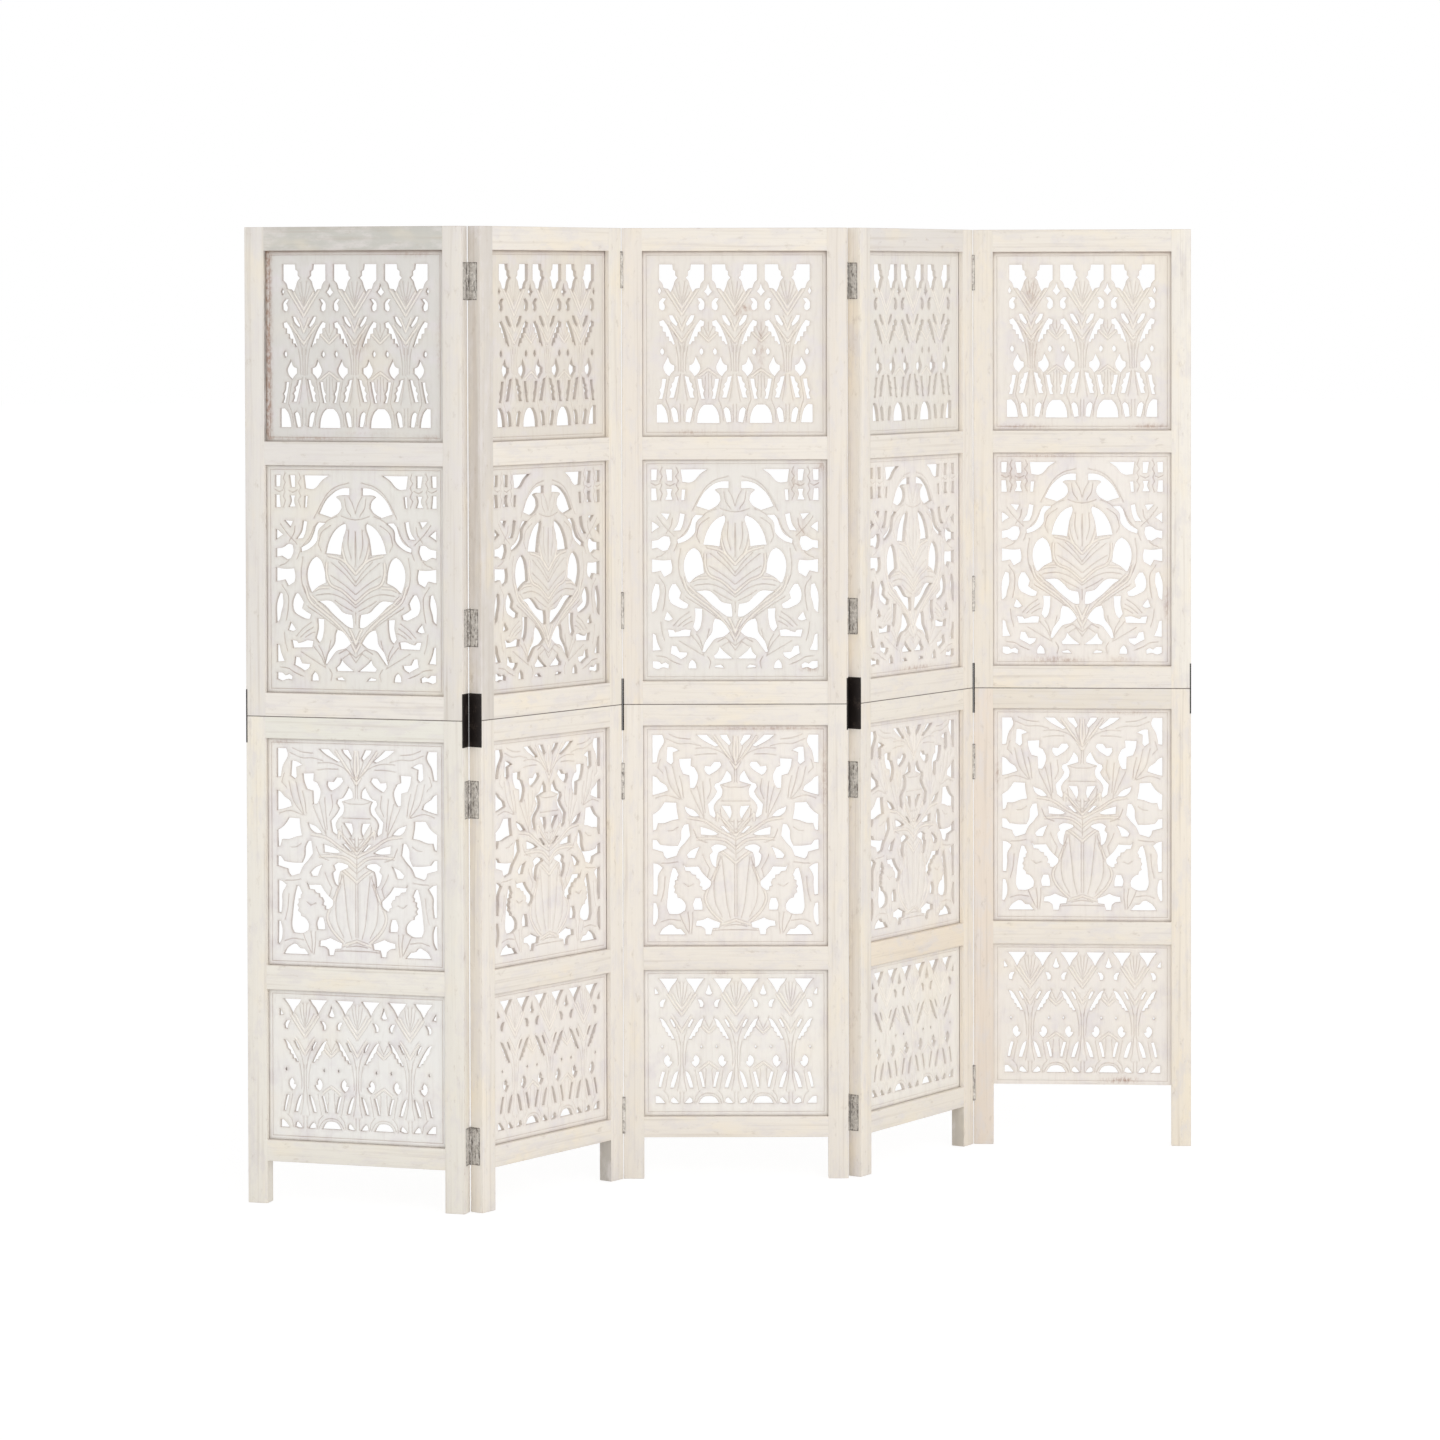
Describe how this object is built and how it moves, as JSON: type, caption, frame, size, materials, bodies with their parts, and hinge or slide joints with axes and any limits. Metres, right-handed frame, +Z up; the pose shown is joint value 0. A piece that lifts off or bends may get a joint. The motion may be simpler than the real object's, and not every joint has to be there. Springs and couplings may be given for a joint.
{
  "type": "folding jali screen",
  "caption": "Free-standing folding screen of hinged timber panels, each framing pierced and carved boards, standing in a zigzag.",
  "frame": {"origin": "middle of the rectangle of floor that the standing screen covers, at floor level", "axes": "+X to the right along the row of panels seen from the front, +Y back into the depth, +Z up; the middle panel stands square to them"},
  "size_m": [1.6476, 0.6898, 1.65],
  "materials": {
    "painted_frame": "brushed off-white paint, rubbed through along the edges",
    "painted_carving": "brushed off-white paint over carved hardwood, greyer in the hollows",
    "blackened_plate": "satin black steel strap",
    "zinc_leaf": "dull zinc-plated steel",
    "steel_pin": "dull drawn steel"
  },
  "bodies": {
    "panel_1": {"upper_stiles_1": "painted_frame", "lower_stiles_1": "painted_frame", "upper_rails_1": "painted_frame", "lower_rails_1": "painted_frame", "crown_board_1": "painted_carving", "medallion_board_1": "painted_carving", "vase_board_1": "painted_carving", "base_board_1": "painted_carving", "seam_plates_1": "blackened_plate", "outer_hinge_leaves_1": "zinc_leaf", "hinge_pins_1": "steel_pin"},
    "panel_2": {"upper_stiles_2": "painted_frame", "lower_stiles_2": "painted_frame", "upper_rails_2": "painted_frame", "lower_rails_2": "painted_frame", "crown_board_2": "painted_carving", "medallion_board_2": "painted_carving", "vase_board_2": "painted_carving", "base_board_2": "painted_carving", "seam_plates_2": "blackened_plate", "middle_hinge_leaves_1": "zinc_leaf", "outer_hinge_leaves_2": "zinc_leaf", "hinge_pins_2": "steel_pin"},
    "panel_3": {"upper_stiles_3": "painted_frame", "lower_stiles_3": "painted_frame", "upper_rails_3": "painted_frame", "lower_rails_3": "painted_frame", "crown_board_3": "painted_carving", "medallion_board_3": "painted_carving", "vase_board_3": "painted_carving", "base_board_3": "painted_carving", "seam_plates_3": "blackened_plate", "middle_hinge_leaves_2": "zinc_leaf", "outer_hinge_leaves_3": "zinc_leaf", "hinge_pins_3": "steel_pin"},
    "panel_4": {"upper_stiles_4": "painted_frame", "lower_stiles_4": "painted_frame", "upper_rails_4": "painted_frame", "lower_rails_4": "painted_frame", "crown_board_4": "painted_carving", "medallion_board_4": "painted_carving", "vase_board_4": "painted_carving", "base_board_4": "painted_carving", "seam_plates_4": "blackened_plate", "middle_hinge_leaves_3": "zinc_leaf", "outer_hinge_leaves_4": "zinc_leaf", "hinge_pins_4": "steel_pin"},
    "panel_5": {"upper_stiles_5": "painted_frame", "lower_stiles_5": "painted_frame", "upper_rails_5": "painted_frame", "lower_rails_5": "painted_frame", "crown_board_5": "painted_carving", "medallion_board_5": "painted_carving", "vase_board_5": "painted_carving", "base_board_5": "painted_carving", "seam_plates_5": "blackened_plate", "middle_hinge_leaves_4": "zinc_leaf"}
  },
  "joints": [
    {"name": "fold_2", "type": "hinge", "parent": "panel_3", "child": "panel_2", "pos_m": [-0.19247, -0.01991, 0.825], "axis": [0, 0, 1], "range_deg": [-54, 123]},
    {"name": "fold_1", "type": "hinge", "parent": "panel_2", "child": "panel_1", "pos_m": [-0.4431, -0.32063, 0.825], "axis": [0, 0, -1], "range_deg": [-71, 109]},
    {"name": "fold_3", "type": "hinge", "parent": "panel_3", "child": "panel_4", "pos_m": [0.19813, 0.00609, 0.825], "axis": [0, 0, 1], "range_deg": [-54, 123]},
    {"name": "fold_4", "type": "hinge", "parent": "panel_4", "child": "panel_5", "pos_m": [0.43267, 0.31951, 0.825], "axis": [0, 0, -1], "range_deg": [-61, 119]}
  ],
  "couplings": [
    {"joint": "fold_3", "follows": "fold_2", "ratio": 1}
  ]
}
